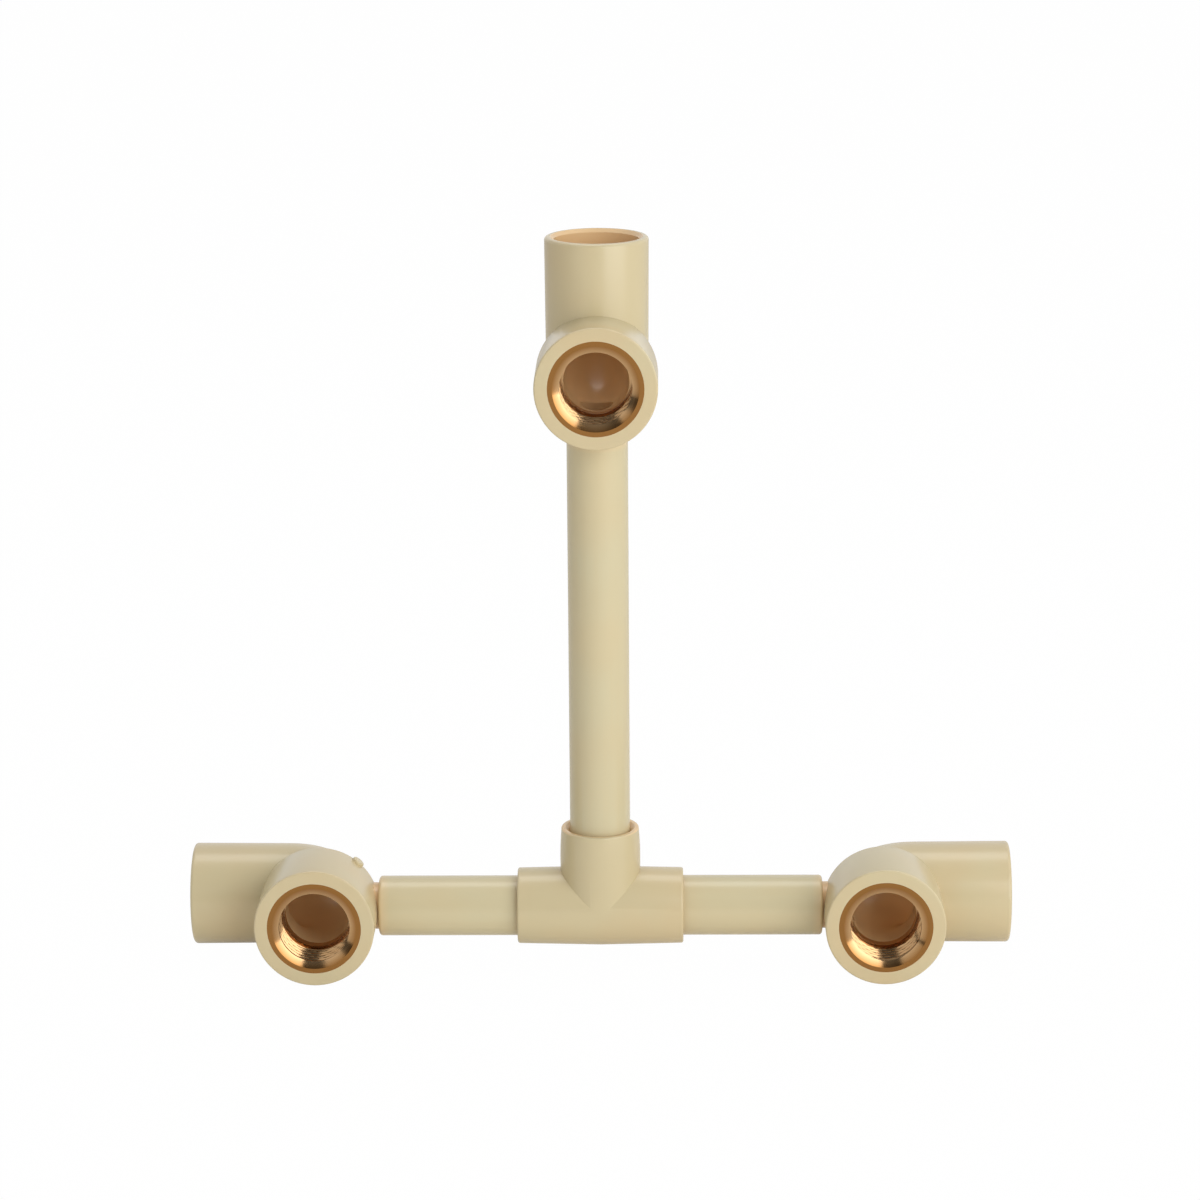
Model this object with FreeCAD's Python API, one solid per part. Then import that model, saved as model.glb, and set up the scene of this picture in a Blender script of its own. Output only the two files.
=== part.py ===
import FreeCAD, Part
import os

# All lengths are in millimetres. The assembly is drawn as it hangs on a wall: X to the right, Z up, outlets
# towards -Y, pipe axes in the plane Y = 0 and the two lower outlets at Z = 0.

# Assembly
OUTLET_SPACING = 150.0        # between the axes of the two lower outlets
RISE = 144.0                  # top outlet above the lower outlets

# Pipe, half-inch copper-tube size, cemented over the spigots and into the tee
PIPE_BORE = 12.4
PIPE_WALL = 1.75
PIPE_CHAMFER = 0.9
PIPE_END_GAP = 0.3            # from the pipe's end to the side of the drum

# Tee
TEE_STOP = 9.3                # from the tee's centre to the stop in each socket
TEE_SOCKET_DEPTH = 12.7
TEE_MOUTH_WALL = 2.1
TEE_RUN_WALL = 2.55           # at the middle of the run, whose sockets taper to the mouth wall
TEE_BRANCH_WALL = 2.45        # at the root of the branch
TEE_SHOULDER_WALL = 2.7       # at the thickest place of the branch
TEE_SHOULDER_DEPTH = 6.0      # from the branch's mouth to that place
TEE_BRANCH_MOUTH_WALL = 2.3
TEE_EDGE = 0.4                # outer edge of each mouth
TEE_LEAD_IN = 1.2             # inner edge of each mouth

# Brass insert, G1/2 inside
THREAD_MINOR = 18.63
MOUTH_CHAMFER = 1.685
MOUTH_RIM = 1.5               # flat ring round the chamfer
INSERT_LENGTH = 13.0
LIP_LENGTH = 2.8              # shoulder behind the thread
LIP_STEP = 0.5                # from the thread's minor diameter in to the waterway
INSERT_FLANGE = 3.0           # plain collar at the face
INSERT_TAIL = 2.2             # plain collar at the inner end
INSERT_GROOVE = 2.0           # groove in front of the inner collar, which stops the insert pulling out
INSERT_GROOVE_DEPTH = 1.6
INSERT_SIDES = 8              # flats of the middle, which stop the insert turning

# Elbow moulding
FACE_FORWARD = 18.7           # outlet face in front of the pipe axes
DRUM_LENGTH = 21.0
DRUM_WALL = 3.3               # around the insert
DRUM_FACE_EDGE = 0.5
DRUM_BACK_EDGE = 1.0
SOCKET_SETBACK = 10.6         # socket axis behind the pipe axes
SOCKET_BORE = 22.3            # three-quarter-inch copper-tube size
SOCKET_DEPTH = 18.0
SOCKET_STOP = 16.3            # from the outlet axis to the stop in the socket
SOCKET_MOUTH_WALL = 2.35
SOCKET_ROOT_WALL = 2.2
SOCKET_EDGE = 0.6
SOCKET_LEAD_IN = 0.9
HEEL_BEND = 9.0               # centre-line radius of the turn from the drum into the socket
SPIGOT_LENGTH = 13.5          # beyond the side of the drum
SPIGOT_BORE = 8.6
SPIGOT_CHAMFER = 0.8
GATE_ANGLE = 53.0             # moulding gate stub, measured from the spigot towards the upper side
GATE_DIAMETER = 3.4
GATE_HEIGHT = 0.8
GATE_FROM_BACK = 2.4

# Sizes tied to the ones above
PIPE_RADIUS = PIPE_BORE / 2 + PIPE_WALL
TEE_REACH = TEE_STOP + TEE_SOCKET_DEPTH
THREAD_RADIUS = THREAD_MINOR / 2
MOUTH_RADIUS = THREAD_RADIUS + MOUTH_CHAMFER
INSERT_RADIUS = MOUTH_RADIUS + MOUTH_RIM
WATERWAY_RADIUS = THREAD_RADIUS - LIP_STEP
INSERT_END = INSERT_LENGTH - FACE_FORWARD
DRUM_RADIUS = INSERT_RADIUS + DRUM_WALL
DRUM_BACK = DRUM_LENGTH - FACE_FORWARD
BEND_START = SOCKET_SETBACK - HEEL_BEND
SOCKET_REACH = SOCKET_STOP + SOCKET_DEPTH
SOCKET_ROOT_RADIUS = SOCKET_BORE / 2 + SOCKET_ROOT_WALL
SOCKET_MOUTH_RADIUS = SOCKET_BORE / 2 + SOCKET_MOUTH_WALL
SPIGOT_TIP = DRUM_RADIUS + SPIGOT_LENGTH

ORIGIN = FreeCAD.Vector(0, 0, 0)
X_AXIS = FreeCAD.Vector(1, 0, 0)
Y_AXIS = FreeCAD.Vector(0, 1, 0)
Z_AXIS = FreeCAD.Vector(0, 0, 1)


def turned(profile, direction):
    """Solid of revolution of a closed profile of (along, radius) points, its axis through the origin."""
    points = [FreeCAD.Vector(along, radius, 0) for along, radius in profile]
    face = Part.Face(Part.makePolygon(points + points[:1]))
    solid = face.revolve(ORIGIN, X_AXIS, 360)
    solid.Placement = FreeCAD.Placement(ORIGIN, FreeCAD.Rotation(X_AXIS, direction))
    return solid


def rod(radius, start, end, direction):
    """Plain cylinder along direction, from start to end measured from the origin."""
    return Part.makeCylinder(radius, end - start, direction * start, direction)


def bend(radius):
    """Round bar through the quarter turn from the outlet's axis into the socket's axis."""
    section = Part.Face(Part.Wire(Part.makeCircle(radius, X_AXIS * HEEL_BEND, Y_AXIS)))
    reach = X_AXIS * (HEEL_BEND + radius)
    low = -Z_AXIS * radius
    high = Z_AXIS * radius
    outside = Part.Face(Part.makePolygon([low, low + reach, high + reach, high, low]))
    bar = section.common(outside).Faces[0].revolve(ORIGIN, Z_AXIS, 90)
    bar.translate(-X_AXIS * HEEL_BEND + Y_AXIS * BEND_START)
    return bar


def insert_outside():
    """Outside of the brass insert: collar at the face, eight-sided middle, groove and inner collar."""
    groove_end = INSERT_END - INSERT_TAIL
    groove_start = groove_end - INSERT_GROOVE
    flange_end = INSERT_FLANGE - FACE_FORWARD
    flange = rod(INSERT_RADIUS, -FACE_FORWARD, flange_end, Y_AXIS)
    tail = rod(INSERT_RADIUS, groove_end, INSERT_END, Y_AXIS)
    waist = rod(INSERT_RADIUS - INSERT_GROOVE_DEPTH, flange_end, groove_end, Y_AXIS)
    corners = []
    for i in range(INSERT_SIDES + 1):
        turn = FreeCAD.Rotation(Y_AXIS, 360 * (i % INSERT_SIDES) / INSERT_SIDES)
        corners.append(turn.multVec(X_AXIS * INSERT_RADIUS) + Y_AXIS * flange_end)
    middle = Part.Face(Part.makePolygon(corners)).extrude(Y_AXIS * (groove_start - flange_end))
    return flange.fuse([middle, waist, tail]).removeSplitter()


def insert(outside):
    """Brass insert, its mouth chamfered down to the thread's minor diameter."""
    lip = INSERT_LENGTH - LIP_LENGTH
    hole = turned(
        [
            (0, 0),
            (0, MOUTH_RADIUS),
            (MOUTH_CHAMFER, THREAD_RADIUS),
            (lip, THREAD_RADIUS),
            (lip, WATERWAY_RADIUS),
            (INSERT_LENGTH, WATERWAY_RADIUS),
            (INSERT_LENGTH, 0),
        ],
        Y_AXIS,
    )
    hole.translate(-Y_AXIS * FACE_FORWARD)
    return outside.cut(hole)


def elbow(insert_form):
    """Moulding around the insert: outlet drum to -Y, pipe socket to -X and set back, spigot to +X."""
    set_back = Y_AXIS * SOCKET_SETBACK
    drum = turned(
        [
            (-FACE_FORWARD, 0),
            (-FACE_FORWARD, DRUM_RADIUS - DRUM_FACE_EDGE),
            (DRUM_FACE_EDGE - FACE_FORWARD, DRUM_RADIUS),
            (DRUM_BACK - DRUM_BACK_EDGE, DRUM_RADIUS),
            (DRUM_BACK, DRUM_RADIUS - DRUM_BACK_EDGE),
            (DRUM_BACK, 0),
        ],
        Y_AXIS,
    )
    socket = turned(
        [
            (HEEL_BEND, 0),
            (HEEL_BEND, SOCKET_ROOT_RADIUS),
            (SOCKET_REACH - SOCKET_EDGE, SOCKET_MOUTH_RADIUS),
            (SOCKET_REACH, SOCKET_MOUTH_RADIUS - SOCKET_EDGE),
            (SOCKET_REACH, 0),
        ],
        -X_AXIS,
    )
    socket.translate(set_back)
    throat = rod(SOCKET_ROOT_RADIUS, INSERT_END, BEND_START, Y_AXIS)
    spigot = turned(
        [
            (0, 0),
            (0, PIPE_BORE / 2),
            (SPIGOT_TIP - SPIGOT_CHAMFER, PIPE_BORE / 2),
            (SPIGOT_TIP, PIPE_BORE / 2 - SPIGOT_CHAMFER),
            (SPIGOT_TIP, 0),
        ],
        X_AXIS,
    )
    gate = rod(GATE_DIAMETER / 2, DRUM_RADIUS - DRUM_WALL / 2, DRUM_RADIUS + GATE_HEIGHT, X_AXIS)
    gate.translate(Y_AXIS * (DRUM_BACK - GATE_FROM_BACK))
    gate.rotate(ORIGIN, -Y_AXIS, GATE_ANGLE)
    body = drum.fuse([throat, bend(SOCKET_ROOT_RADIUS), socket, spigot, gate])

    run = turned(
        [
            (HEEL_BEND, 0),
            (HEEL_BEND, WATERWAY_RADIUS),
            (SOCKET_STOP, WATERWAY_RADIUS),
            (SOCKET_STOP, SOCKET_BORE / 2),
            (SOCKET_REACH - SOCKET_LEAD_IN, SOCKET_BORE / 2),
            (SOCKET_REACH, SOCKET_BORE / 2 + SOCKET_LEAD_IN),
            (SOCKET_REACH, 0),
        ],
        -X_AXIS,
    )
    run.translate(set_back)
    way = rod(WATERWAY_RADIUS, INSERT_END, BEND_START, Y_AXIS)
    side_way = rod(SPIGOT_BORE / 2, 0, SPIGOT_TIP, X_AXIS)
    hollow = insert_form.fuse([way, bend(WATERWAY_RADIUS), run, side_way])
    return body.cut(hollow).removeSplitter()


def tee():
    """Tee with three pipe sockets: run along X, branch up."""
    mouth = PIPE_RADIUS + TEE_MOUTH_WALL
    branch_mouth = PIPE_RADIUS + TEE_BRANCH_MOUTH_WALL
    run = turned(
        [
            (-TEE_REACH, 0),
            (-TEE_REACH, mouth - TEE_EDGE),
            (TEE_EDGE - TEE_REACH, mouth),
            (0, PIPE_RADIUS + TEE_RUN_WALL),
            (TEE_REACH - TEE_EDGE, mouth),
            (TEE_REACH, mouth - TEE_EDGE),
            (TEE_REACH, 0),
        ],
        X_AXIS,
    )
    branch = turned(
        [
            (0, 0),
            (0, PIPE_RADIUS + TEE_BRANCH_WALL),
            (TEE_REACH - TEE_SHOULDER_DEPTH, PIPE_RADIUS + TEE_SHOULDER_WALL),
            (TEE_REACH - TEE_EDGE, branch_mouth),
            (TEE_REACH, branch_mouth - TEE_EDGE),
            (TEE_REACH, 0),
        ],
        Z_AXIS,
    )
    ways = []
    for direction in (X_AXIS, -X_AXIS, Z_AXIS):
        way = turned(
            [
                (0, 0),
                (0, PIPE_BORE / 2),
                (TEE_STOP, PIPE_BORE / 2),
                (TEE_STOP, PIPE_RADIUS),
                (TEE_REACH - TEE_LEAD_IN, PIPE_RADIUS),
                (TEE_REACH, PIPE_RADIUS + TEE_LEAD_IN),
                (TEE_REACH, 0),
            ],
            direction,
        )
        ways.append(way)
    return run.fuse(branch).cut(ways)


def pipe(end, direction):
    """Pipe from the tee's stop to end, measured from the tee's centre."""
    return turned(
        [
            (TEE_STOP, PIPE_BORE / 2),
            (TEE_STOP, PIPE_RADIUS - PIPE_CHAMFER),
            (TEE_STOP + PIPE_CHAMFER, PIPE_RADIUS),
            (end - PIPE_CHAMFER, PIPE_RADIUS),
            (end, PIPE_RADIUS - PIPE_CHAMFER),
            (end, PIPE_BORE / 2),
        ],
        direction,
    )


def placed(shape, angle, centre):
    """Copy of shape turned about the outlet axis by angle and moved to centre."""
    copy = shape.copy()
    copy.rotate(ORIGIN, Y_AXIS, angle)
    copy.translate(centre)
    return copy


insert_form = insert_outside()
brass = insert(insert_form)
moulding = elbow(insert_form)
half = OUTLET_SPACING / 2
drum_clear = DRUM_RADIUS + PIPE_END_GAP
left = -X_AXIS * half
right = X_AXIS * half
top = Z_AXIS * RISE

nodes = {
    "left_elbow": placed(moulding, 0, left),
    "right_elbow": placed(moulding, 180, right),
    "top_elbow": placed(moulding, 90, top),
    "left_insert": placed(brass, 0, left),
    "right_insert": placed(brass, 180, right),
    "top_insert": placed(brass, 90, top),
    "centre_tee": tee(),
    "left_pipe": pipe(half - drum_clear, -X_AXIS),
    "right_pipe": pipe(half - drum_clear, X_AXIS),
    "riser_pipe": pipe(RISE - drum_clear, Z_AXIS),
}

# The part's own frame has its origin under the middle of the box round it.
back = SOCKET_SETBACK + SOCKET_MOUTH_RADIUS
to_frame = FreeCAD.Vector(0, (FACE_FORWARD - back) / 2, DRUM_RADIUS)
os.makedirs("parts", exist_ok=True)
for name, shape in nodes.items():
    shape.translate(to_frame)
    shape.exportStep("parts/" + name + ".step")
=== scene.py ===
import math

import bmesh
import bpy
from mathutils import Matrix, Vector


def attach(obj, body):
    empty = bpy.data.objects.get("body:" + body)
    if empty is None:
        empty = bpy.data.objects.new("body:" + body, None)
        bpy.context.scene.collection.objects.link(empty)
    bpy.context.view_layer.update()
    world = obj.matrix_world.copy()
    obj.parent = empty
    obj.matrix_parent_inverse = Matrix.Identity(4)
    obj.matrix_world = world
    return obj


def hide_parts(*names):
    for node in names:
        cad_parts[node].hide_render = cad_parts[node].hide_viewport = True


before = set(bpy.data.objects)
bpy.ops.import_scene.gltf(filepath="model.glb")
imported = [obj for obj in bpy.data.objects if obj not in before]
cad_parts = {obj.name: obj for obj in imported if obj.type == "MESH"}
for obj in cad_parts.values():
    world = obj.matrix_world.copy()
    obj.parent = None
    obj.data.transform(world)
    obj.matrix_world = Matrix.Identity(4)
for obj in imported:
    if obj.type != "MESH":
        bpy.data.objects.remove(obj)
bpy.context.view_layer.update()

MM = 0.001

# Sizes of the pieces, in millimetres. They are those of the part's source, apart from what is
# shown finer here: the thread and its mouth, the insert's rim, the waterway and rounded edges.
OUTLET_SPACING = 150.0
RISE = 144.0
PIPE_RADIUS = 7.95
PIPE_BORE = 6.2
PIPE_ROUND = 0.9
PIPE_END = 58.9
RISER_END = 127.9
TEE_STOP = 9.3
TEE_REACH = 22.0
TEE_MOUTH = 10.05
TEE_RUN = 10.5
TEE_BRANCH = 10.45
TEE_SHOULDER = 10.65
TEE_SHOULDER_DEPTH = 6.0
TEE_SHOULDER_ROUND = 80.0
TEE_BRANCH_MOUTH = 10.25
TEE_ROUND = 0.6
TEE_BRANCH_ROUND = 0.4
TEE_LEAD_IN = 1.2
THREAD_MINOR = 9.315
THREAD_MAJOR = 10.48
THREAD_PITCH = 1.814
THREAD_LENGTH = 10.2
THREAD_RUNOUT = 0.8
THREAD_ROWS = 128
RUN_IN_START = 0.9
RUN_IN_END = 2.4
CREST_FLAT = 0.165
MOUTH_RADIUS = 11.1
MOUTH_SLOPE = 1.7
INSERT_RADIUS = 12.35
INSERT_LENGTH = 13.0
INSERT_FLANGE = 3.0
INSERT_TAIL = 2.2
INSERT_GROOVE = 2.0
INSERT_WAIST = 10.9
INSERT_SIDES = 8
FACE_FORWARD = 18.7
DRUM_RADIUS = 15.8
DRUM_FACE_ROUND = 0.45
DRUM_BACK = 2.3
DRUM_BACK_ROUND = 1.2
SOCKET_SETBACK = 10.6
SOCKET_BORE = 11.15
SOCKET_STOP = 16.3
SOCKET_REACH = 34.3
SOCKET_MOUTH = 13.5
SOCKET_ROOT = 13.35
SOCKET_ROUND = 0.9
SOCKET_LEAD_IN = 0.9
HEEL_BEND = 9.0
WATERWAY = 8.5
SPIGOT_TIP = 29.3
SPIGOT_BORE = 4.3
SPIGOT_ROUND = 0.8
GATE_ANGLE = 49.0
GATE_RADIUS = 1.7
GATE_HEIGHT = 0.8
GATE_ROOT = 1.5
GATE_ROUND = 0.45
GATE_SETBACK = 2.0
TO_FRAME = Vector((0, -2.7, 15.8))

# Camera, in metres and degrees
CAMERA_PLACE = (0.01638, -1.00877, 0.36541)
LENS = 119.54
FILM_WIDTH = 36.0
NEAREST = 0.05
FARTHEST = 50
LOOK_DOWN = 14.784
LOOK_RIGHT = -0.909
CAMERA_LEAN = -0.425

# Studio. Each reach gives the two values of a direction, from -1 to 1, between which a glow rises.
SOFT_LIGHT = 0.39
ROOM_GLOW = 0.1
ROOM_REACH = (-0.5, 0.1)
CEILING_GLOW = 0.35
CEILING_REACH = (0.5, 0.85)
FLOOR_COLOUR = (0.95, 0.92, 0.87, 1)
FLOOR_GLOW = 0.99
FLOOR_SHEEN = 0.34
FLOOR_HALF = 4.0
AIM = (0, 0, 0.08)
LAMP_DISTANCE = 1.4

# Softboxes: name, degrees round to the right of the front, degrees up, size in metres, watts
SOFTBOXES = (
    ("right_softbox", 42, 18, (1.3, 1.2), 13.8),
    ("left_softbox", -36, 18, (0.8, 0.8), 1.6),
    ("top_softbox", 180, 72, (1.2, 0.6), 4.8),
)

# Linear colours of the finishes
CREAM = (0.632, 0.538, 0.33)
CREAM_WARM = (0.65, 0.515, 0.3)
PIPE_CREAM = (0.635, 0.565, 0.362)
PIPE_WARM = (0.65, 0.545, 0.33)
# Painted light: the amber glow of light through the thin walls and bounced in the hollows, a little
# darker deep inside as painted shade
PAINTED_AMBER_GLOW = (0.84, 0.59, 0.32)
PAINTED_AMBER_DEEP = (0.8, 0.54, 0.275)
BRASS = (0.58, 0.365, 0.18)
BRASS_DARK = (0.5, 0.3, 0.13)
# Painted shade: dim reflections in the insert's countersink and on its face
BRASS_FACE_SHADE = (0.33, 0.15, 0.034)

# Painted light in the hollow places: an amber glow for light shining through the thin walls and bounced
# about inside, as shares from 0 to 1, and how it falls off
MOUTH_PAINTED_GLOW = 0.4
SPIGOT_PAINTED_GLOW = 0.7
LIP_PAINTED_GLOW = 0.5
LIP_FALL = 4
# Painted light and shade: an amber tint rising towards each pipe's end
PIPE_END_PAINTED_GLOW = 0.2
PIPE_END_REACH = 3.0

# Patterns of the finishes: grains to the metre, and ranges as (from low, from high, to low, to high).
# The turning marks of the brass are counted to the millimetre.
CLOUD_GRAIN = 38.0
CLOUD_RANGE = (0.42, 0.68, 0.0, 0.8)
SPECK_GRAIN = 420.0
DRAWN_GRAIN = 700.0
DRAWN_RANGE = (0.4, 0.75, 0.0, 0.35)
DRAWN_SHARE = 0.6
DRAWN_LENGTHWISE = 0.02
# Ranges of the painted amber glow, and of its painted shade deeper in, taken from the stored inside
# share
PAINTED_DEEP_RANGE = (0.45, 1.0, 0.0, 1.0)
PAINTED_GLOW_RANGE = (0.0, 0.4, 0.0, 1.0)
CREAM_ROUGHNESS = 0.24
CREAM_IOR = 1.53
CREAM_RELIEF = 0.000008
TURNING_GRAIN = 3.2
TURNING_ROUGHNESS = (0.3, 0.7, 0.12, 0.18)
TARNISH_GRAIN = 180.0
TARNISH_RANGE = (0.35, 0.75, 0.0, 0.7)
BRASS_DETAIL = 3.0
BRASS_COAT = 0.4
BRASS_COAT_ROUGHNESS = 0.15
BRASS_RELIEF = 0.000002

# Meshes: points round a piece, steps along a rounding and a bend, millimetres, and one angle in degrees
AROUND = 144
GATE_AROUND = 48
ROUND_STEPS = 6
BEND_STEPS = 24
WELD = 0.0005
SHARP_EDGE = 18.0
CLEAR = 0.1
OVERCUT = 1.0

ALONG_X = Matrix(((0, 0, 1), (0, 1, 0), (-1, 0, 0))).to_4x4()
ALONG_MINUS_X = Matrix(((0, 0, -1), (0, 1, 0), (1, 0, 0))).to_4x4()
ALONG_Y = Matrix(((1, 0, 0), (0, 0, 1), (0, -1, 0))).to_4x4()
ALONG_Z = Matrix.Identity(4)
SET_BACK = Matrix.Translation((0, SOCKET_SETBACK, 0))


def rounded(corners):
    """Points (along, radius) through corners (along, radius, rounding), with an arc at each one."""
    points = []
    count = len(corners)
    for i, (along, radius, rounding) in enumerate(corners):
        if rounding == 0:
            points.append((along, radius))
            continue
        here = Vector((along, radius))
        back = (Vector(corners[i - 1][:2]) - here).normalized()
        ahead = (Vector(corners[(i + 1) % count][:2]) - here).normalized()
        half = back.angle(ahead) / 2
        reach = rounding / math.tan(half)
        start, end = here + back * reach, here + ahead * reach
        centre = here + (back + ahead).normalized() * (rounding / math.sin(half))
        for k in range(ROUND_STEPS + 1):
            share = k / ROUND_STEPS
            spoke = (start - centre).lerp(end - centre, share).normalized()
            points.append(tuple(centre + spoke * rounding))
    return points


def turned(corners, place, around=AROUND):
    """Closed lathe mesh of a profile (along, radius, rounding) round +Z, moved by place.

    A radius of 0 is a pole.
    """
    mesh = bmesh.new()
    rings = []
    for along, radius in rounded(corners):
        if radius == 0:
            rings.append([mesh.verts.new((0, 0, along))])
            continue
        circle = []
        for k in range(around):
            angle = math.tau * k / around
            circle.append(mesh.verts.new((radius * math.cos(angle), radius * math.sin(angle), along)))
        rings.append(circle)
    closed = len(rings[0]) > 1
    pairs = list(zip(rings, rings[1:] + rings[:1]))
    if not closed:
        pairs = pairs[:-1]
    for low, high in pairs:
        for k in range(around):
            following = (k + 1) % around
            if len(low) == 1:
                mesh.faces.new((low[0], high[following], high[k]))
            elif len(high) == 1:
                mesh.faces.new((low[k], low[following], high[0]))
            else:
                mesh.faces.new((low[k], low[following], high[following], high[k]))
    bmesh.ops.recalc_face_normals(mesh, faces=mesh.faces)
    mesh.transform(place)
    return solid(mesh)


def solid(mesh):
    """Object made of a bmesh, linked to the scene."""
    data = bpy.data.meshes.new("blank")
    mesh.to_mesh(data)
    mesh.free()
    made = bpy.data.objects.new("blank", data)
    bpy.context.scene.collection.objects.link(made)
    return made


def rod(radius, start, end, place):
    """Plain round bar from start to end along +Z, moved by place."""
    return turned([(start, 0, 0), (start, radius, 0), (end, radius, 0), (end, 0, 0)], place)


def bend(radius):
    """Round bar through the quarter turn from the outlet's axis into the socket's axis.

    It is clipped at the axis of the bend.
    """
    clip = math.acos(-min(1.0, HEEL_BEND / radius)) if radius > HEEL_BEND else math.pi
    arc = [-clip]
    for k in range(AROUND + 1):
        angle = math.tau * k / AROUND - math.pi
        if -clip < angle < clip:
            arc.append(angle)
    if clip < math.pi:
        arc.append(clip)
    mesh = bmesh.new()
    rows = []
    poles = {}
    for i in range(BEND_STEPS + 1):
        sweep = math.pi / 2 * i / BEND_STEPS
        row = []
        for j, angle in enumerate(arc):
            out = HEEL_BEND + radius * math.cos(angle)
            high = radius * math.sin(angle)
            on_axis = clip < math.pi and j in (0, len(arc) - 1)
            if on_axis and j in poles:
                row.append(poles[j])
                continue
            spot = mesh.verts.new((out * math.cos(sweep), out * math.sin(sweep), high))
            if on_axis:
                spot.co.x = spot.co.y = 0
                poles[j] = spot
            row.append(spot)
        rows.append(row)
    for low, high in zip(rows, rows[1:]):
        for j in range(len(arc) - 1):
            corners = (low[j], low[j + 1], high[j + 1], high[j])
            mesh.faces.new(list(dict.fromkeys(corners)))
        if clip == math.pi:
            mesh.faces.new((low[-1], low[0], high[0], high[-1]))
    mesh.faces.new(rows[0])
    mesh.faces.new(reversed(rows[-1]))
    bmesh.ops.recalc_face_normals(mesh, faces=mesh.faces)
    mesh.transform(Matrix.Translation((-HEEL_BEND, SOCKET_SETBACK - HEEL_BEND, 0)))
    return solid(mesh)


def joined(base, tools, operation):
    """base united with, or cut by, each of tools in turn."""
    for tool in tools:
        step = base.modifiers.new("step", "BOOLEAN")
        step.operation = operation
        step.solver = "MANIFOLD"
        step.object = tool
    bpy.context.view_layer.update()
    depsgraph = bpy.context.evaluated_depsgraph_get()
    data = bpy.data.meshes.new_from_object(base.evaluated_get(depsgraph))
    for spent in [base] + tools:
        bpy.data.objects.remove(spent)
    made = bpy.data.objects.new("blank", data)
    bpy.context.scene.collection.objects.link(made)
    return made


def thread_tree():
    """Geometry Nodes: wall of a threaded hole round +Z, from its mouth to the lip behind the thread."""
    tree = bpy.data.node_groups.new("pipe_thread", "GeometryNodeTree")
    face = tree.interface
    for label, kind in (
        ("Minor Radius", "NodeSocketFloat"),
        ("Major Radius", "NodeSocketFloat"),
        ("Mouth Radius", "NodeSocketFloat"),
        ("Pitch", "NodeSocketFloat"),
        ("Length", "NodeSocketFloat"),
        ("Runout", "NodeSocketFloat"),
        ("Around", "NodeSocketInt"),
        ("Along", "NodeSocketInt"),
        ("Finish", "NodeSocketMaterial"),
    ):
        face.new_socket(label, in_out="INPUT", socket_type=kind)
    face.new_socket("Geometry", in_out="OUTPUT", socket_type="NodeSocketGeometry")
    link = tree.links.new
    given = tree.nodes.new("NodeGroupInput").outputs

    def maths(operation, *values):
        node = tree.nodes.new("ShaderNodeMath")
        node.operation = operation
        for socket, value in zip(node.inputs, values):
            if isinstance(value, (int, float)):
                socket.default_value = value
            else:
                link(value, socket)
        return node.outputs[0]

    def eased(value, low, high, shape):
        node = tree.nodes.new("ShaderNodeMapRange")
        node.interpolation_type = shape
        node.inputs["From Min"].default_value = low
        node.inputs["From Max"].default_value = high
        link(value, node.inputs["Value"])
        return node.outputs[0]

    grid = tree.nodes.new("GeometryNodeMeshGrid")
    grid.inputs["Size X"].default_value = 1
    grid.inputs["Size Y"].default_value = 1
    link(maths("ADD", given["Around"], 1), grid.inputs["Vertices X"])
    link(given["Along"], grid.inputs["Vertices Y"])
    split = tree.nodes.new("ShaderNodeSeparateXYZ")
    link(tree.nodes.new("GeometryNodeInputPosition").outputs[0], split.inputs[0])
    turn = maths("ADD", split.outputs["X"], 0.5)
    depth = maths("MULTIPLY", maths("ADD", split.outputs["Y"], 0.5), given["Length"])
    turns_in = maths("SUBTRACT", maths("DIVIDE", depth, given["Pitch"]), turn)
    phase = maths("FRACT", maths("ADD", turns_in, 1))
    flank = maths("ABSOLUTE", maths("SUBTRACT", maths("MULTIPLY", phase, 2), 1))
    left_over = maths("DIVIDE", maths("SUBTRACT", given["Length"], depth), given["Runout"])
    cut = maths(
        "MULTIPLY",
        eased(flank, CREST_FLAT, 1 - CREST_FLAT, "LINEAR"),
        eased(left_over, 0, 1, "SMOOTHSTEP"),
    )
    full = maths("SUBTRACT", given["Major Radius"], given["Minor Radius"])
    begun = eased(depth, RUN_IN_START, RUN_IN_END, "SMOOTHSTEP")
    groove = maths("MULTIPLY", maths("MULTIPLY", cut, begun), full)
    thread = maths("ADD", given["Minor Radius"], groove)
    mouth = maths("SUBTRACT", given["Mouth Radius"], maths("MULTIPLY", depth, MOUTH_SLOPE))
    radius = maths("MAXIMUM", thread, mouth)
    angle = maths("MULTIPLY", turn, math.tau)
    spot = tree.nodes.new("ShaderNodeCombineXYZ")
    link(maths("MULTIPLY", radius, maths("COSINE", angle)), spot.inputs["X"])
    link(maths("MULTIPLY", radius, maths("SINE", angle)), spot.inputs["Y"])
    link(depth, spot.inputs["Z"])
    put = tree.nodes.new("GeometryNodeSetPosition")
    link(grid.outputs["Mesh"], put.inputs["Geometry"])
    link(spot.outputs[0], put.inputs["Position"])
    weld = tree.nodes.new("GeometryNodeMergeByDistance")
    weld.inputs["Distance"].default_value = WELD
    link(put.outputs[0], weld.inputs["Geometry"])
    real = tree.nodes.new("GeometryNodeRealizeInstances")
    link(weld.outputs[0], real.inputs[0])
    paint = tree.nodes.new("GeometryNodeSetMaterial")
    link(real.outputs[0], paint.inputs["Geometry"])
    link(given["Finish"], paint.inputs["Material"])
    link(paint.outputs[0], tree.nodes.new("NodeGroupOutput").inputs["Geometry"])
    return tree


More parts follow.
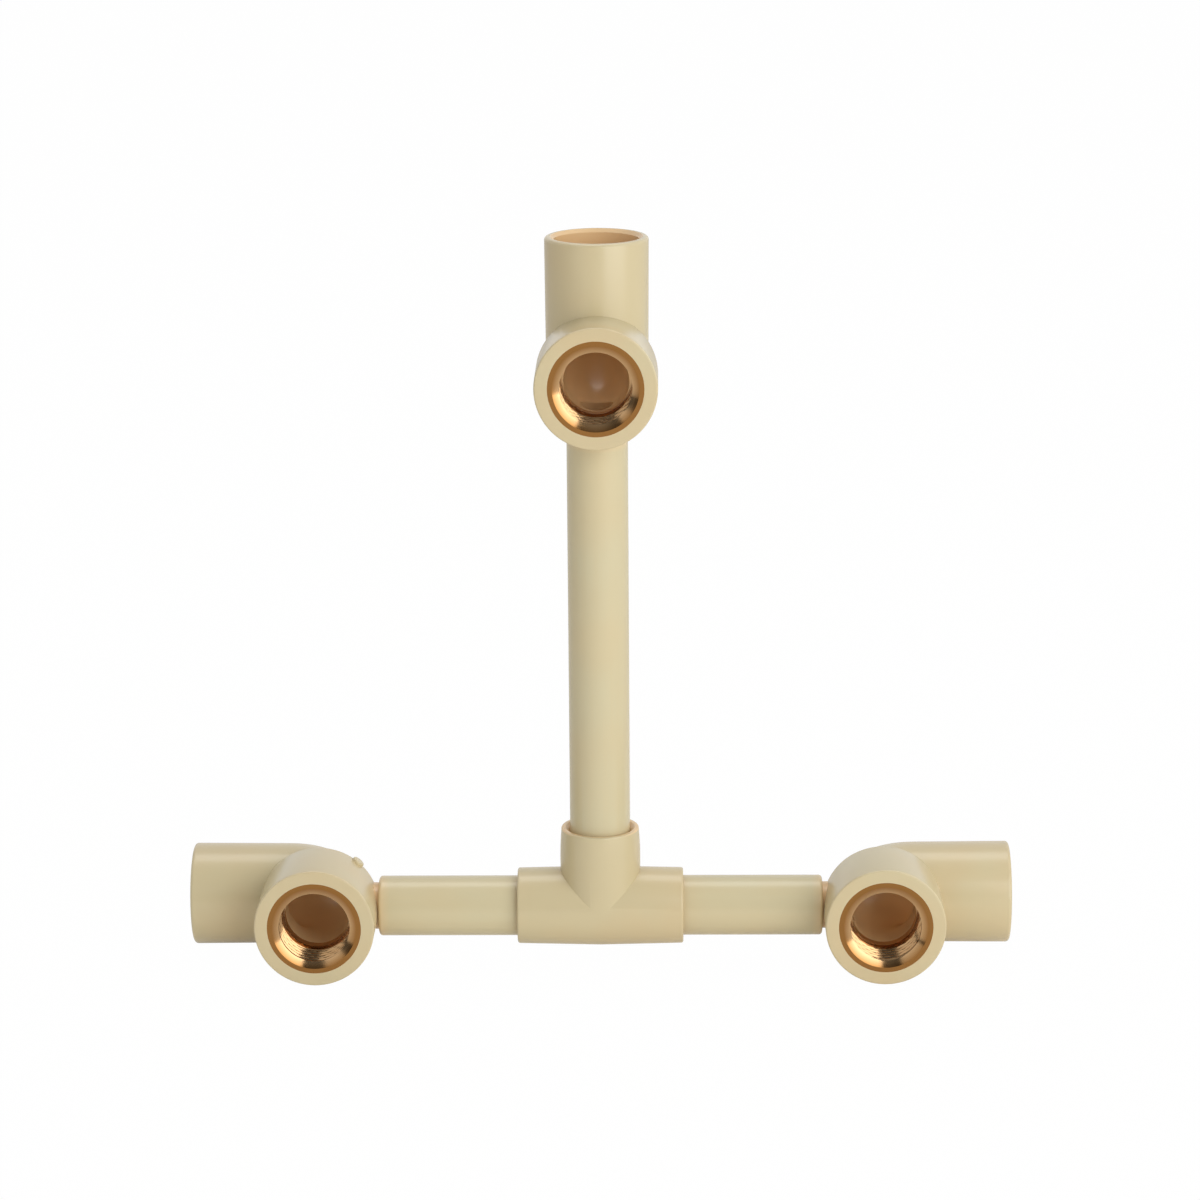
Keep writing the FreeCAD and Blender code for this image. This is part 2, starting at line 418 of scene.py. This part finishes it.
def thread_wall(finish):
    """The threaded wall of one insert, as a plain mesh."""
    holder = solid(bmesh.new())
    tree = thread_tree()
    step = holder.modifiers.new("thread", "NODES")
    step.node_group = tree
    values = {
        "Minor Radius": THREAD_MINOR,
        "Major Radius": THREAD_MAJOR,
        "Mouth Radius": MOUTH_RADIUS,
        "Pitch": THREAD_PITCH,
        "Length": THREAD_LENGTH,
        "Runout": THREAD_RUNOUT,
        "Around": AROUND,
        "Along": THREAD_ROWS,
        "Finish": finish,
    }
    for item in tree.interface.items_tree:
        if item.in_out == "INPUT":
            step[item.identifier] = values[item.name]
    bpy.context.view_layer.update()
    depsgraph = bpy.context.evaluated_depsgraph_get()
    data = bpy.data.meshes.new_from_object(holder.evaluated_get(depsgraph))
    holder.modifiers.remove(step)
    bpy.data.objects.remove(holder)
    return data


def ring(mesh, along, radius, sides=0):
    """Row of points round +Z: a circle, or an even-sided outline with its corners on that circle."""
    row = []
    for k in range(AROUND):
        angle = math.tau * k / AROUND
        reach = radius
        if sides:
            step = math.tau / sides
            reach = radius * math.cos(step / 2) / math.cos(angle % step - step / 2)
        row.append(mesh.verts.new((reach * math.cos(angle), reach * math.sin(angle), along)))
    return row


def brass_insert(finish):
    """Insert from its face at -Y to its tail: threaded hole, round collars, eight-sided middle."""
    mesh = bmesh.new()
    mesh.from_mesh(thread_wall(finish))
    groove_end = INSERT_LENGTH - INSERT_TAIL
    groove_start = groove_end - INSERT_GROOVE
    outside = (
        (THREAD_LENGTH, THREAD_MINOR, 0),
        (THREAD_LENGTH, WATERWAY, 0),
        (INSERT_LENGTH, WATERWAY, 0),
        (INSERT_LENGTH, INSERT_RADIUS, 0),
        (groove_end, INSERT_RADIUS, 0),
        (groove_end, INSERT_WAIST, 0),
        (groove_start, INSERT_WAIST, 0),
        (groove_start, INSERT_RADIUS, INSERT_SIDES),
        (INSERT_FLANGE, INSERT_RADIUS, INSERT_SIDES),
        (INSERT_FLANGE, INSERT_RADIUS, 0),
        (0, INSERT_RADIUS, 0),
        (0, MOUTH_RADIUS, 0),
    )
    rows = [ring(mesh, *size) for size in outside]
    for low, high in zip(rows, rows[1:]):
        for k in range(AROUND):
            following = (k + 1) % AROUND
            mesh.faces.new((low[k], low[following], high[following], high[k]))
    bmesh.ops.remove_doubles(mesh, verts=mesh.verts, dist=WELD)
    bmesh.ops.recalc_face_normals(mesh, faces=mesh.faces)
    mesh.transform(Matrix.Translation((0, -FACE_FORWARD, 0)) @ ALONG_Y)
    return solid(mesh)


def elbow_moulding():
    """Elbow with the outlet drum to -Y, the socket to -X and set back, and the spigot to +X."""
    insert_end = INSERT_LENGTH - FACE_FORWARD
    bend_start = SOCKET_SETBACK - HEEL_BEND
    drum = turned(
        [
            (-FACE_FORWARD, 0, 0),
            (-FACE_FORWARD, DRUM_RADIUS, DRUM_FACE_ROUND),
            (DRUM_BACK, DRUM_RADIUS, DRUM_BACK_ROUND),
            (DRUM_BACK, 0, 0),
        ],
        ALONG_Y,
    )
    throat = rod(SOCKET_ROOT, insert_end, bend_start, ALONG_Y)
    socket = turned(
        [
            (HEEL_BEND, 0, 0),
            (HEEL_BEND, SOCKET_ROOT, 0),
            (SOCKET_REACH, SOCKET_MOUTH, SOCKET_ROUND),
            (SOCKET_REACH, 0, 0),
        ],
        SET_BACK @ ALONG_MINUS_X,
    )
    spigot = turned(
        [(0, 0, 0), (0, PIPE_BORE, 0), (SPIGOT_TIP, PIPE_BORE, SPIGOT_ROUND), (SPIGOT_TIP, 0, 0)],
        ALONG_X,
    )
    gate_turn = Matrix.Rotation(-math.radians(GATE_ANGLE), 4, "Y")
    gate_shift = Matrix.Translation((0, DRUM_BACK - GATE_SETBACK, 0))
    gate = turned(
        [
            (DRUM_RADIUS - GATE_ROOT, 0, 0),
            (DRUM_RADIUS - GATE_ROOT, GATE_RADIUS, 0),
            (DRUM_RADIUS + GATE_HEIGHT, GATE_RADIUS, GATE_ROUND),
            (DRUM_RADIUS + GATE_HEIGHT, 0, 0),
        ],
        gate_turn @ gate_shift @ ALONG_X,
        GATE_AROUND,
    )
    body = joined(drum, [throat, bend(SOCKET_ROOT), socket, spigot, gate], "UNION")
    run = turned(
        [
            (HEEL_BEND, 0, 0),
            (HEEL_BEND, WATERWAY, 0),
            (SOCKET_STOP, WATERWAY, 0),
            (SOCKET_STOP, SOCKET_BORE, 0),
            (SOCKET_REACH - SOCKET_LEAD_IN, SOCKET_BORE, 0),
            (SOCKET_REACH + CLEAR, SOCKET_BORE + SOCKET_LEAD_IN + CLEAR, 0),
            (SOCKET_REACH + CLEAR, 0, 0),
        ],
        SET_BACK @ ALONG_MINUS_X,
    )
    way = rod(WATERWAY, insert_end - OVERCUT, bend_start, ALONG_Y)
    side_way = rod(SPIGOT_BORE, 0, SPIGOT_TIP + OVERCUT, ALONG_X)
    seat = rod(INSERT_RADIUS, -FACE_FORWARD - OVERCUT, insert_end, ALONG_Y)
    return joined(body, [seat, way, bend(WATERWAY), run, side_way], "DIFFERENCE")


def tee_moulding():
    """Tee with its run along X, its branch up Z and three pipe sockets."""
    run = turned(
        [
            (-TEE_REACH, 0, 0),
            (-TEE_REACH, TEE_MOUTH, TEE_ROUND),
            (0, TEE_RUN, 0),
            (TEE_REACH, TEE_MOUTH, TEE_ROUND),
            (TEE_REACH, 0, 0),
        ],
        ALONG_X,
    )
    branch = turned(
        [
            (0, 0, 0),
            (0, TEE_BRANCH, 0),
            (TEE_REACH - TEE_SHOULDER_DEPTH, TEE_SHOULDER, TEE_SHOULDER_ROUND),
            (TEE_REACH, TEE_BRANCH_MOUTH, TEE_BRANCH_ROUND),
            (TEE_REACH, 0, 0),
        ],
        ALONG_Z,
    )
    ways = []
    for direction in (ALONG_X, ALONG_MINUS_X, ALONG_Z):
        ways.append(
            turned(
                [
                    (0, 0, 0),
                    (0, PIPE_BORE, 0),
                    (TEE_STOP, PIPE_BORE, 0),
                    (TEE_STOP, PIPE_RADIUS, 0),
                    (TEE_REACH - TEE_LEAD_IN, PIPE_RADIUS, 0),
                    (TEE_REACH + CLEAR, PIPE_RADIUS + TEE_LEAD_IN + CLEAR, 0),
                    (TEE_REACH + CLEAR, 0, 0),
                ],
                direction,
            )
        )
    return joined(joined(run, [branch], "UNION"), ways, "DIFFERENCE")


def pipe_length(end, place):
    """Pipe from the tee's stop to end, on an axis that starts in the middle of the tee.

    A row of points PIPE_END_REACH before its end lets the painted amber glow start there.
    """
    return turned(
        [
            (TEE_STOP, PIPE_BORE, 0),
            (TEE_STOP, PIPE_RADIUS, PIPE_ROUND),
            (end - PIPE_END_REACH, PIPE_RADIUS, 0),
            (end, PIPE_RADIUS, PIPE_ROUND),
            (end, PIPE_BORE, 0),
        ],
        place,
    )


def mark(shape, name, value):
    """Store value(spot) at the corners of each face whose middle has a value other than 0."""
    data = shape.data
    shares = [0.0] * len(data.loops)
    for face in data.polygons:
        middle = value(face.center)
        if middle == 0:
            continue
        for loop in face.loop_indices:
            shares[loop] = value(data.vertices[data.loops[loop].vertex_index].co) or middle
    attribute = data.attributes.new(name, "FLOAT", "CORNER")
    attribute.data.foreach_set("value", shares)


def bore_share(along, mouth, reach):
    """Painted amber glow of a bore: that of its mouth, rising to 1 where it is reach deep."""
    return min(1.0, MOUTH_PAINTED_GLOW + (1 - MOUTH_PAINTED_GLOW) * max(0.0, mouth - along) / reach)


def inside_elbow(spot):
    """How far a point of the elbow is inside it, which sets its painted glow: 0 outside, 1 deep in the
    waterway.
    """
    bend_start = SOCKET_SETBACK - HEEL_BEND
    from_socket = math.hypot(spot.y - SOCKET_SETBACK, spot.z)
    from_outlet = math.hypot(spot.x, spot.z)
    from_spigot = math.hypot(spot.y, spot.z)
    round_bend = math.hypot(spot.x + HEEL_BEND, spot.y - bend_start)
    from_bend = math.hypot(round_bend - HEEL_BEND, spot.z)
    if spot.x < -HEEL_BEND and from_socket < SOCKET_BORE + SOCKET_LEAD_IN + CLEAR:
        return bore_share(-spot.x, SOCKET_REACH, SOCKET_REACH - SOCKET_STOP)
    if spot.y > bend_start - CLEAR and from_bend < WATERWAY + CLEAR:
        return 1.0
    behind_face = -FACE_FORWARD + CLEAR < spot.y < bend_start + CLEAR
    if behind_face and from_outlet < INSERT_RADIUS + CLEAR:
        return 1.0
    if spot.x > 0 and from_spigot < SPIGOT_BORE + CLEAR:
        return 1.0
    if spot.x > INSERT_RADIUS and from_spigot < PIPE_BORE + CLEAR:
        return SPIGOT_PAINTED_GLOW
    return 0.0


def towards_end(along, end):
    """Painted amber glow and shade of a pipe near its end, below 0 away from it."""
    return PIPE_END_PAINTED_GLOW * (along - end + PIPE_END_REACH) / PIPE_END_REACH


def inside_tee(spot):
    """How far a point of the tee is inside it: 0 outside, 1 deep in its sockets; the lip's left and
    right sides also get a painted glow.
    """
    if spot.z > PIPE_RADIUS + TEE_LEAD_IN:
        along, out = spot.z, math.hypot(spot.x, spot.y)
    else:
        along, out = abs(spot.x), math.hypot(spot.y, spot.z)
    if out > PIPE_RADIUS + TEE_LEAD_IN + CLEAR:
        # Painted light: an amber glow on the lip's left and right sides, for light shining through the
        # thin rim
        if spot.z > TEE_REACH - TEE_BRANCH_ROUND - CLEAR:
            return LIP_PAINTED_GLOW * (abs(spot.x) / out) ** LIP_FALL
        return 0.0
    return bore_share(along, TEE_REACH, TEE_LEAD_IN)


def finished(shape, name, angle, centre, finish):
    """Copy of shape, turned about the outlet's axis and put in its place, for the CAD node name."""
    data = shape.data.copy()
    place = Matrix.Translation(Vector(centre) + TO_FRAME) @ Matrix.Rotation(math.radians(angle), 4, "Y")
    data.transform(Matrix.Scale(MM, 4) @ place)
    data.materials.clear()
    data.materials.append(finish)
    data.shade_smooth()
    data.set_sharp_from_angle(angle=math.radians(SHARP_EDGE))
    data.name = name + "_piece"
    made = bpy.data.objects.new(name + "_piece", data)
    bpy.context.scene.collection.objects.link(made)
    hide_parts(name)
    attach(made, "root")


class Recipe:
    """Short calls for the shader nodes of one material."""

    def __init__(self, name):
        self.material = bpy.data.materials.new(name)
        self.material.use_nodes = True
        self.tree = self.material.node_tree
        self.shader = self.tree.nodes["Principled BSDF"]
        self.spot = self.tree.nodes.new("ShaderNodeTexCoord").outputs["Object"]

    def put(self, socket, value):
        """Link a socket to value, or set it where value is a number, a colour or a vector."""
        if isinstance(value, bpy.types.NodeSocket):
            self.tree.links.new(value, socket)
        elif isinstance(value, tuple) and len(value) == 3 and socket.type == "RGBA":
            socket.default_value = (*value, 1)
        else:
            socket.default_value = value

    def set(self, **values):
        for label, value in values.items():
            self.put(self.shader.inputs[label.replace("_", " ")], value)

    def maths(self, operation, first, second=0.0):
        node = self.tree.nodes.new("ShaderNodeMath")
        node.operation = operation
        self.put(node.inputs[0], first)
        self.put(node.inputs[1], second)
        return node.outputs[0]

    def spread(self, value, low, high, to_low, to_high):
        node = self.tree.nodes.new("ShaderNodeMapRange")
        for label, given in (
            ("Value", value),
            ("From Min", low),
            ("From Max", high),
            ("To Min", to_low),
            ("To Max", to_high),
        ):
            self.put(node.inputs[label], given)
        return node.outputs[0]

    def noise(self, scale, detail=2.0, stretch=(1, 1, 1), spot=None):
        """Soft noise of about 1/scale metres a grain, longer where stretch is under 1."""
        place = self.tree.nodes.new("ShaderNodeMapping")
        self.put(place.inputs["Vector"], spot or self.spot)
        place.inputs["Scale"].default_value = stretch
        node = self.tree.nodes.new("ShaderNodeTexNoise")
        self.put(node.inputs["Vector"], place.outputs[0])
        node.inputs["Scale"].default_value = scale
        node.inputs["Detail"].default_value = detail
        return node.outputs["Fac"]

    def mix(self, share, first, second):
        node = self.tree.nodes.new("ShaderNodeMix")
        node.data_type = "RGBA"
        self.put(node.inputs[0], share)
        self.put(node.inputs[6], first)
        self.put(node.inputs[7], second)
        return node.outputs[2]

    def stored(self, name):
        node = self.tree.nodes.new("ShaderNodeAttribute")
        node.attribute_name = name
        return node.outputs["Fac"]

    def relief(self, height, distance):
        node = self.tree.nodes.new("ShaderNodeBump")
        self.put(node.inputs["Height"], height)
        node.inputs["Distance"].default_value = distance
        node.inputs["Strength"].default_value = 1.0
        self.put(self.shader.inputs["Normal"], node.outputs[0])


def cream_finish(name, colour, warm, lines=None):
    """Cream CPVC: faint warm clouds, a painted amber glow and shade in the hollow places, and drawing
    lines along a pipe.
    """
    recipe = Recipe(name)
    clouds = recipe.spread(recipe.noise(CLOUD_GRAIN), *CLOUD_RANGE)
    height = recipe.noise(SPECK_GRAIN, 1.0)
    skin = recipe.mix(clouds, colour, warm)
    if lines:
        drawn = recipe.noise(DRAWN_GRAIN, stretch=lines)
        skin = recipe.mix(recipe.spread(drawn, *DRAWN_RANGE), skin, warm)
        height = recipe.maths(
            "ADD",
            recipe.maths("MULTIPLY", drawn, DRAWN_SHARE),
            recipe.maths("MULTIPLY", height, 1 - DRAWN_SHARE),
        )
    # The inside share paints light and shade: an amber glow in mouths and bores, darker deeper in
    depth = recipe.stored("inside")
    hollow = recipe.mix(recipe.spread(depth, *PAINTED_DEEP_RANGE), PAINTED_AMBER_GLOW, PAINTED_AMBER_DEEP)
    skin = recipe.mix(recipe.spread(depth, *PAINTED_GLOW_RANGE), skin, hollow)
    recipe.set(Base_Color=skin, Roughness=CREAM_ROUGHNESS, IOR=CREAM_IOR)
    recipe.relief(height, CREAM_RELIEF)
    return recipe.material


def brass_finish():
    """Turned brass under clear lacquer: fine rings round the outlet, tarnish, and painted shade on the
    mouth and face.
    """
    recipe = Recipe("turned_brass")
    rings = recipe.tree.nodes.new("ShaderNodeCombineXYZ")
    recipe.put(rings.inputs["X"], recipe.stored("out"))
    recipe.put(rings.inputs["Y"], recipe.stored("along"))
    turning = recipe.noise(TURNING_GRAIN, BRASS_DETAIL, spot=rings.outputs[0])
    tarnish = recipe.noise(TARNISH_GRAIN, BRASS_DETAIL)
    metal = recipe.mix(recipe.spread(tarnish, *TARNISH_RANGE), BRASS, BRASS_DARK)
    # Painted shade: the brass darkens from the thread out across the countersink to the face, for their
    # dim reflections
    face = recipe.spread(recipe.stored("out"), THREAD_MINOR, MOUTH_RADIUS, 0.0, 1.0)
    recipe.set(
        Base_Color=recipe.mix(face, metal, BRASS_FACE_SHADE),
        Metallic=1.0,
        Roughness=recipe.spread(turning, *TURNING_ROUGHNESS),
        Coat_Weight=BRASS_COAT,
        Coat_Roughness=BRASS_COAT_ROUGHNESS,
    )
    recipe.relief(turning, BRASS_RELIEF)
    return recipe.material


def photo_camera():
    """Camera in front of the part and a little above it, as in the photograph."""
    data = bpy.data.cameras.new("front_camera")
    data.sensor_width = FILM_WIDTH
    data.lens = LENS
    data.clip_start = NEAREST
    data.clip_end = FARTHEST
    camera = bpy.data.objects.new("front_camera", data)
    bpy.context.scene.collection.objects.link(camera)
    level = Matrix.Rotation(math.radians(90 - LOOK_DOWN), 4, "X")
    turn = Matrix.Rotation(math.radians(-LOOK_RIGHT), 4, "Z")
    lean = Matrix.Rotation(math.radians(CAMERA_LEAN), 4, "Z")
    camera.matrix_world = Matrix.Translation(CAMERA_PLACE) @ turn @ level @ lean
    bpy.context.scene.camera = camera


def seen_share(tree, seen, mirrored):
    """Seen where the camera looks, mirrored in gloss and through glass, and 0 for the light itself."""
    path = tree.nodes.new("ShaderNodeLightPath")
    value = None
    for label, share in (
        ("Is Camera Ray", seen),
        ("Is Glossy Ray", mirrored),
        ("Is Transmission Ray", mirrored),
    ):
        scaled = tree.nodes.new("ShaderNodeMath")
        scaled.operation = "MULTIPLY"
        tree.links.new(path.outputs[label], scaled.inputs[0])
        scaled.inputs[1].default_value = share
        if value is None:
            value = scaled.outputs[0]
            continue
        both = tree.nodes.new("ShaderNodeMath")
        both.operation = "MAXIMUM"
        tree.links.new(value, both.inputs[0])
        tree.links.new(scaled.outputs[0], both.inputs[1])
        value = both.outputs[0]
    return value


def eased_glow(tree, value, reach, low, high):
    """Glow that rises softly from low to high while value passes through reach."""
    node = tree.nodes.new("ShaderNodeMapRange")
    node.interpolation_type = "SMOOTHSTEP"
    tree.links.new(value, node.inputs["Value"])
    node.inputs["From Min"].default_value, node.inputs["From Max"].default_value = reach
    node.inputs["To Min"].default_value = low
    node.inputs["To Max"].default_value = high
    return node.outputs[0]


def studio_world():
    """White backdrop behind and beside the part, a dim room in front of it, and weak soft light."""
    world = bpy.data.worlds.new("white_surroundings")
    world.use_nodes = True
    tree = world.node_tree
    tree.nodes.clear()
    direction = tree.nodes.new("ShaderNodeSeparateXYZ")
    tree.links.new(tree.nodes.new("ShaderNodeTexCoord").outputs["Generated"], direction.inputs[0])
    brighter = tree.nodes.new("ShaderNodeMath")
    brighter.operation = "MAXIMUM"
    room = eased_glow(tree, direction.outputs["Y"], ROOM_REACH, ROOM_GLOW, 1.0)
    ceiling = eased_glow(tree, direction.outputs["Z"], CEILING_REACH, 0.0, CEILING_GLOW)
    tree.links.new(room, brighter.inputs[0])
    tree.links.new(ceiling, brighter.inputs[1])
    soft = tree.nodes.new("ShaderNodeBackground")
    soft.inputs["Color"].default_value = (1, 1, 1, 1)
    soft.inputs["Strength"].default_value = SOFT_LIGHT
    around = tree.nodes.new("ShaderNodeBackground")
    around.inputs["Color"].default_value = (1, 1, 1, 1)
    tree.links.new(brighter.outputs[0], around.inputs["Strength"])
    mix = tree.nodes.new("ShaderNodeMixShader")
    tree.links.new(seen_share(tree, 1.0, 1.0), mix.inputs[0])
    tree.links.new(soft.outputs[0], mix.inputs[1])
    tree.links.new(around.outputs[0], mix.inputs[2])
    tree.links.new(mix.outputs[0], tree.nodes.new("ShaderNodeOutputWorld").inputs["Surface"])
    bpy.context.scene.world = world


def pale_floor():
    """Large white sheet under the part that keeps a faint shadow."""
    mesh = bmesh.new()
    bmesh.ops.create_grid(mesh, x_segments=1, y_segments=1, size=FLOOR_HALF)
    floor = solid(mesh)
    floor.name = "pale_floor"
    material = bpy.data.materials.new("white_paper")
    material.use_nodes = True
    tree = material.node_tree
    tree.nodes.clear()
    mix = tree.nodes.new("ShaderNodeMixShader")
    tree.links.new(seen_share(tree, FLOOR_GLOW, FLOOR_SHEEN), mix.inputs[0])
    matt = tree.nodes.new("ShaderNodeBsdfDiffuse")
    matt.inputs["Color"].default_value = FLOOR_COLOUR
    glow = tree.nodes.new("ShaderNodeEmission")
    tree.links.new(matt.outputs[0], mix.inputs[1])
    tree.links.new(glow.outputs[0], mix.inputs[2])
    tree.links.new(mix.outputs[0], tree.nodes.new("ShaderNodeOutputMaterial").inputs["Surface"])
    floor.data.materials.append(material)


def softbox(name, round_to, height, size, power):
    """Lamp at round_to degrees to the right of the front and height degrees up, facing the part."""
    data = bpy.data.lights.new(name, "AREA")
    data.shape = "RECTANGLE"
    data.size, data.size_y = size
    data.energy = power
    light = bpy.data.objects.new(name, data)
    bpy.context.scene.collection.objects.link(light)
    across, up = math.radians(round_to), math.radians(height)
    level = math.cos(up)
    away = Vector((math.sin(across) * level, -math.cos(across) * level, math.sin(up)))
    light.location = Vector(AIM) + away * LAMP_DISTANCE
    light.rotation_euler = (-away).to_track_quat("-Z", "Y").to_euler()


cream = cream_finish("cream_moulding", CREAM, CREAM_WARM)
lines_across = (DRAWN_LENGTHWISE, 1, 1)
lines_upright = (1, 1, DRAWN_LENGTHWISE)
pipe_across = cream_finish("cream_pipe_across", PIPE_CREAM, PIPE_WARM, lines_across)
pipe_upright = cream_finish("cream_pipe_upright", PIPE_CREAM, PIPE_WARM, lines_upright)
brass = brass_finish()

moulding = elbow_moulding()
insert = brass_insert(brass)
tee = tee_moulding()
mark(moulding, "inside", inside_elbow)
mark(tee, "inside", inside_tee)
mark(insert, "out", lambda spot: math.hypot(spot.x, spot.z))
mark(insert, "along", lambda spot: spot.y)
half = OUTLET_SPACING / 2
for side, angle, centre in (
    ("left", 0, (-half, 0, 0)),
    ("right", 180, (half, 0, 0)),
    ("top", 90, (0, 0, RISE)),
):
    finished(moulding, side + "_elbow", angle, centre, cream)
    finished(insert, side + "_insert", angle, centre, brass)
finished(tee, "centre_tee", 0, (0, 0, 0), cream)
short = pipe_length(PIPE_END, ALONG_X)
long = pipe_length(RISER_END, ALONG_Z)
# The pipes' ends get a painted amber glow and shade
mark(short, "inside", lambda spot: towards_end(spot.x, PIPE_END))
mark(long, "inside", lambda spot: towards_end(spot.z, RISER_END))
finished(short, "left_pipe", 180, (0, 0, 0), pipe_across)
finished(short, "right_pipe", 0, (0, 0, 0), pipe_across)
finished(long, "riser_pipe", 0, (0, 0, 0), pipe_upright)
for spare in (moulding, insert, tee, short, long):
    bpy.data.objects.remove(spare)

photo_camera()
studio_world()
pale_floor()
for lamp in SOFTBOXES:
    softbox(*lamp)

bpy.context.scene.view_settings.view_transform = "Standard"
